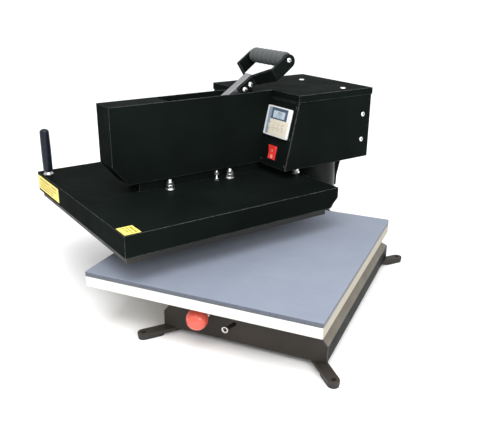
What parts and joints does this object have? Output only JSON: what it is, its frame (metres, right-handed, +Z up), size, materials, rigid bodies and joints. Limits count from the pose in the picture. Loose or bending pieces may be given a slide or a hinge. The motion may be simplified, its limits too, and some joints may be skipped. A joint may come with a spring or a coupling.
{
  "type": "swing-away heat press",
  "caption": "Swing-away flat heat press: heated upper platen on a pivoting arm with a pull-over lever, padded lower platen on a low base with splayed feet.",
  "frame": {"origin": "centre of the four bench bolt holes, on the bench plane under the foot pads", "axes": "+Z up, +Y from the operator towards the column, +X to the operator's right"},
  "size_m": [0.7627, 0.7522, 0.4771],
  "materials": {
    "black_powder_coat": "fine satin powder coat",
    "base_powder_coat": "satin powder coat, brownish black",
    "zinc": "bright zinc plating",
    "ground_steel": "ground steel",
    "spring_steel": "oiled spring steel",
    "bronze": "oiled bronze",
    "plate_aluminium": "coated cast plate",
    "element_steel": "dull tube",
    "wool": "felted glass wool",
    "board_white": "white-edged fibre board",
    "pad_silicone": "blue-grey silicone sponge",
    "foam": "grey closed-cell foam",
    "black_plastic": "glossy black",
    "red_plastic": "glossy red",
    "white_plastic": "off-white",
    "key_plastic": "pale grey",
    "display_glass": "backlit liquid crystal behind a window",
    "black_rubber": "matt black",
    "lead_sleeve": "braided glass sleeve"
  },
  "bodies": {
    "base": {"base_housing": "black_powder_coat", "base_front_plate": "base_powder_coat", "spine_beam": "black_powder_coat", "cross_members": "black_powder_coat", "foot_bars": "base_powder_coat", "foot_pads": "black_rubber", "platen_rails": "black_powder_coat", "platen_board": "board_white", "silicone_pad": "pad_silicone", "lock_lug": "black_powder_coat", "lock_housing": "zinc", "slot_screw": "zinc", "column_post": "black_powder_coat", "column_collar": "black_powder_coat", "thrust_washer": "bronze", "flange_bolts": "zinc", "retaining_cap": "zinc"},
    "head": {"head_sleeve": "black_powder_coat", "column_bushes": "bronze", "arm_channel": "black_powder_coat", "pivot_pin": "black_powder_coat", "guide_blocks": "black_powder_coat", "head_housing": "black_powder_coat", "head_lid": "black_powder_coat", "control_panel": "black_powder_coat", "housing_screws": "zinc", "controller_body": "white_plastic", "controller_display": "display_glass", "switch_frame": "black_plastic", "mains_inlet": "black_plastic", "housing_grommet": "black_rubber", "return_springs": "spring_steel"},
    "upper_platen": {"heater_cover": "black_powder_coat", "heater_plate": "plate_aluminium", "heating_element": "element_steel", "insulation_blanket": "wool", "press_flange": "black_powder_coat", "platen_studs": "zinc", "press_bar": "black_powder_coat", "guide_rods": "ground_steel", "press_clevis": "black_powder_coat", "stick_handle": "black_plastic", "lead_gland": "zinc", "heater_lead": "lead_sleeve"},
    "lever": {"lever_bar": "zinc", "crank_pin": "ground_steel", "handle_plate_near": "black_powder_coat", "handle_plate_far": "black_powder_coat", "grip_tube": "ground_steel", "foam_grip": "foam", "lever_bolts": "zinc"},
    "link": {"toggle_link": "ground_steel", "toe_pin": "ground_steel"},
    "lock_knob": {"lock_pin": "ground_steel", "ball_knob": "red_plastic"},
    "power_rocker": {"rocker": "red_plastic"},
    "mode_key": {"key_mode": "key_plastic"},
    "down_key": {"key_down": "key_plastic"},
    "up_key": {"key_up": "key_plastic"},
    "start_key": {"key_start": "key_plastic"}
  },
  "joints": [
    {"name": "head_swing", "type": "hinge", "parent": "base", "child": "head", "pos_m": [-0.0616, 0.3215, 0.24], "axis": [0, 0, 1], "range_deg": [-38.2, 31.8]},
    {"name": "lever_pull", "type": "hinge", "parent": "head", "child": "lever", "pos_m": [-0.21969, 0.06653, 0.347], "axis": [0.8499, -0.527, 0], "range_deg": [0, 115]},
    {"name": "platen_slide", "type": "slide", "parent": "head", "child": "upper_platen", "axis": [0, 0, -1], "range_m": [0, 0.039], "stiffness_N_per_m": 1800, "springref_m": -0.13, "deforming": ["return_springs"]},
    {"name": "link_turn", "type": "hinge", "parent": "lever", "child": "link", "pos_m": [-0.22851, 0.0523, 0.36375], "axis": [0.8499, -0.527, 0], "range_deg": [-115, 0]},
    {"name": "lock_pull", "type": "slide", "parent": "base", "child": "lock_knob", "axis": [0, -1, 0], "range_m": [0, 0.012], "stiffness_N_per_m": 700, "springref_m": -0.008},
    {"name": "power_rock", "type": "hinge", "parent": "head", "child": "power_rocker", "pos_m": [-0.0877, 0.13708, 0.26659], "axis": [0.8499, -0.527, 0], "range_deg": [-18, 0]},
    {"name": "mode_key_press", "type": "slide", "parent": "head", "child": "mode_key", "axis": [0.5125, 0.8265, -0.2329], "range_m": [0, 0.0008], "stiffness_N_per_m": 500, "springref_m": -0.0006},
    {"name": "down_key_press", "type": "slide", "parent": "head", "child": "down_key", "axis": [0.5125, 0.8265, -0.2329], "range_m": [0, 0.0008], "stiffness_N_per_m": 500, "springref_m": -0.0006},
    {"name": "up_key_press", "type": "slide", "parent": "head", "child": "up_key", "axis": [0.5125, 0.8265, -0.2329], "range_m": [0, 0.0008], "stiffness_N_per_m": 500, "springref_m": -0.0006},
    {"name": "start_key_press", "type": "slide", "parent": "head", "child": "start_key", "axis": [0.5125, 0.8265, -0.2329], "range_m": [0, 0.0008], "stiffness_N_per_m": 500, "springref_m": -0.0006}
  ],
  "couplings": [
    {"joint": "platen_slide", "follows": "lever_pull", "m_per_rad": 0.019431},
    {"joint": "link_turn", "follows": "lever_pull", "ratio": -1}
  ]
}
